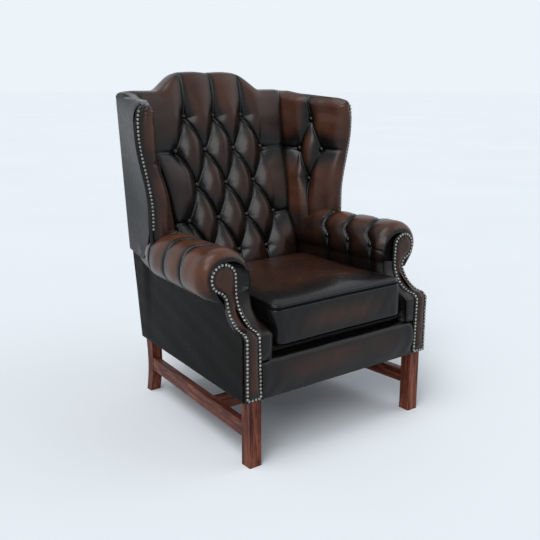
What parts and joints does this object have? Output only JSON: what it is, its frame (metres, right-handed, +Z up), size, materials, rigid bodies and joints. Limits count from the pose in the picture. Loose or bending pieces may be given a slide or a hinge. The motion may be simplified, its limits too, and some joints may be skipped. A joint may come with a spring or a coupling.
{
  "type": "wingback chair",
  "caption": "High-backed wing chair with rolled arms, deep-buttoned leather back, loose seat cushion, nailed arm fronts and square front legs joined by stretchers.",
  "frame": {"origin": "on the floor under the middle of the chair's overall box", "axes": "+Z up, +Y towards the back, +X to the right-hand side seen from the front; the chair is symmetric about X"},
  "size_m": [0.88, 0.8041, 1.11],
  "materials": {
    "polished_wood": "dark red mahogany, polished",
    "frame_wood": "plain beech, unfinished",
    "webbing": "jute webbing",
    "black_cloth": "black lining cloth",
    "steel": "bright steel",
    "nail_metal": "antiqued domed nail heads",
    "outside_leather": "near black leather",
    "button_leather": "dark leather buttons",
    "buttoned_leather": "antiqued dark red-brown leather"
  },
  "bodies": {
    "chair": {"arm_buttons_left": "button_leather", "arm_buttons_right": "button_leather", "arm_facing_left": "outside_leather", "arm_facing_right": "outside_leather", "arm_post_left": "frame_wood", "arm_post_right": "frame_wood", "arm_rail_left": "frame_wood", "arm_rail_right": "frame_wood", "arm_tacking_rail_left": "frame_wood", "arm_tacking_rail_right": "frame_wood", "back_buttons": "button_leather", "back_seat_rail": "frame_wood", "back_upright_left": "frame_wood", "back_upright_right": "frame_wood", "corner_blocks": "frame_wood", "corner_screws": "steel", "crest_rail": "frame_wood", "cross_stretcher": "polished_wood", "dust_cover": "black_cloth", "facing_nails_left": "nail_metal", "facing_nails_right": "nail_metal", "front_border": "buttoned_leather", "front_leg_left": "polished_wood", "front_leg_right": "polished_wood", "front_seat_rail": "frame_wood", "inside_arm_pad_left": "buttoned_leather", "inside_arm_pad_right": "buttoned_leather", "inside_back_pad": "buttoned_leather", "inside_wing_pad_left": "buttoned_leather", "inside_wing_pad_right": "buttoned_leather", "level_webbing": "webbing", "lower_back_rail": "frame_wood", "outside_arm_panel_left": "outside_leather", "outside_arm_panel_right": "outside_leather", "outside_back_panel": "outside_leather", "outside_wing_panel_left": "outside_leather", "outside_wing_panel_right": "outside_leather", "rear_leg_left": "polished_wood", "rear_leg_right": "polished_wood", "seat_deck": "black_cloth", "seat_springs": "steel", "side_seat_rail_left": "frame_wood", "side_seat_rail_right": "frame_wood", "side_stretcher_left": "polished_wood", "side_stretcher_right": "polished_wood", "spring_clips": "steel", "upright_webbing": "webbing", "wing_buttons_left": "button_leather", "wing_buttons_right": "button_leather", "wing_nails_left": "nail_metal", "wing_nails_right": "nail_metal", "wing_post_left": "frame_wood", "wing_post_right": "frame_wood", "wing_top_rail_left": "frame_wood", "wing_top_rail_right": "frame_wood"},
    "cushion": {"cushion_welts": "buttoned_leather", "seat_cushion": "buttoned_leather"}
  },
  "joints": [
    {"name": "cushion_lift", "type": "slide", "parent": "chair", "child": "cushion", "axis": [0, 0, 1], "range_m": [0, 0.3]}
  ]
}
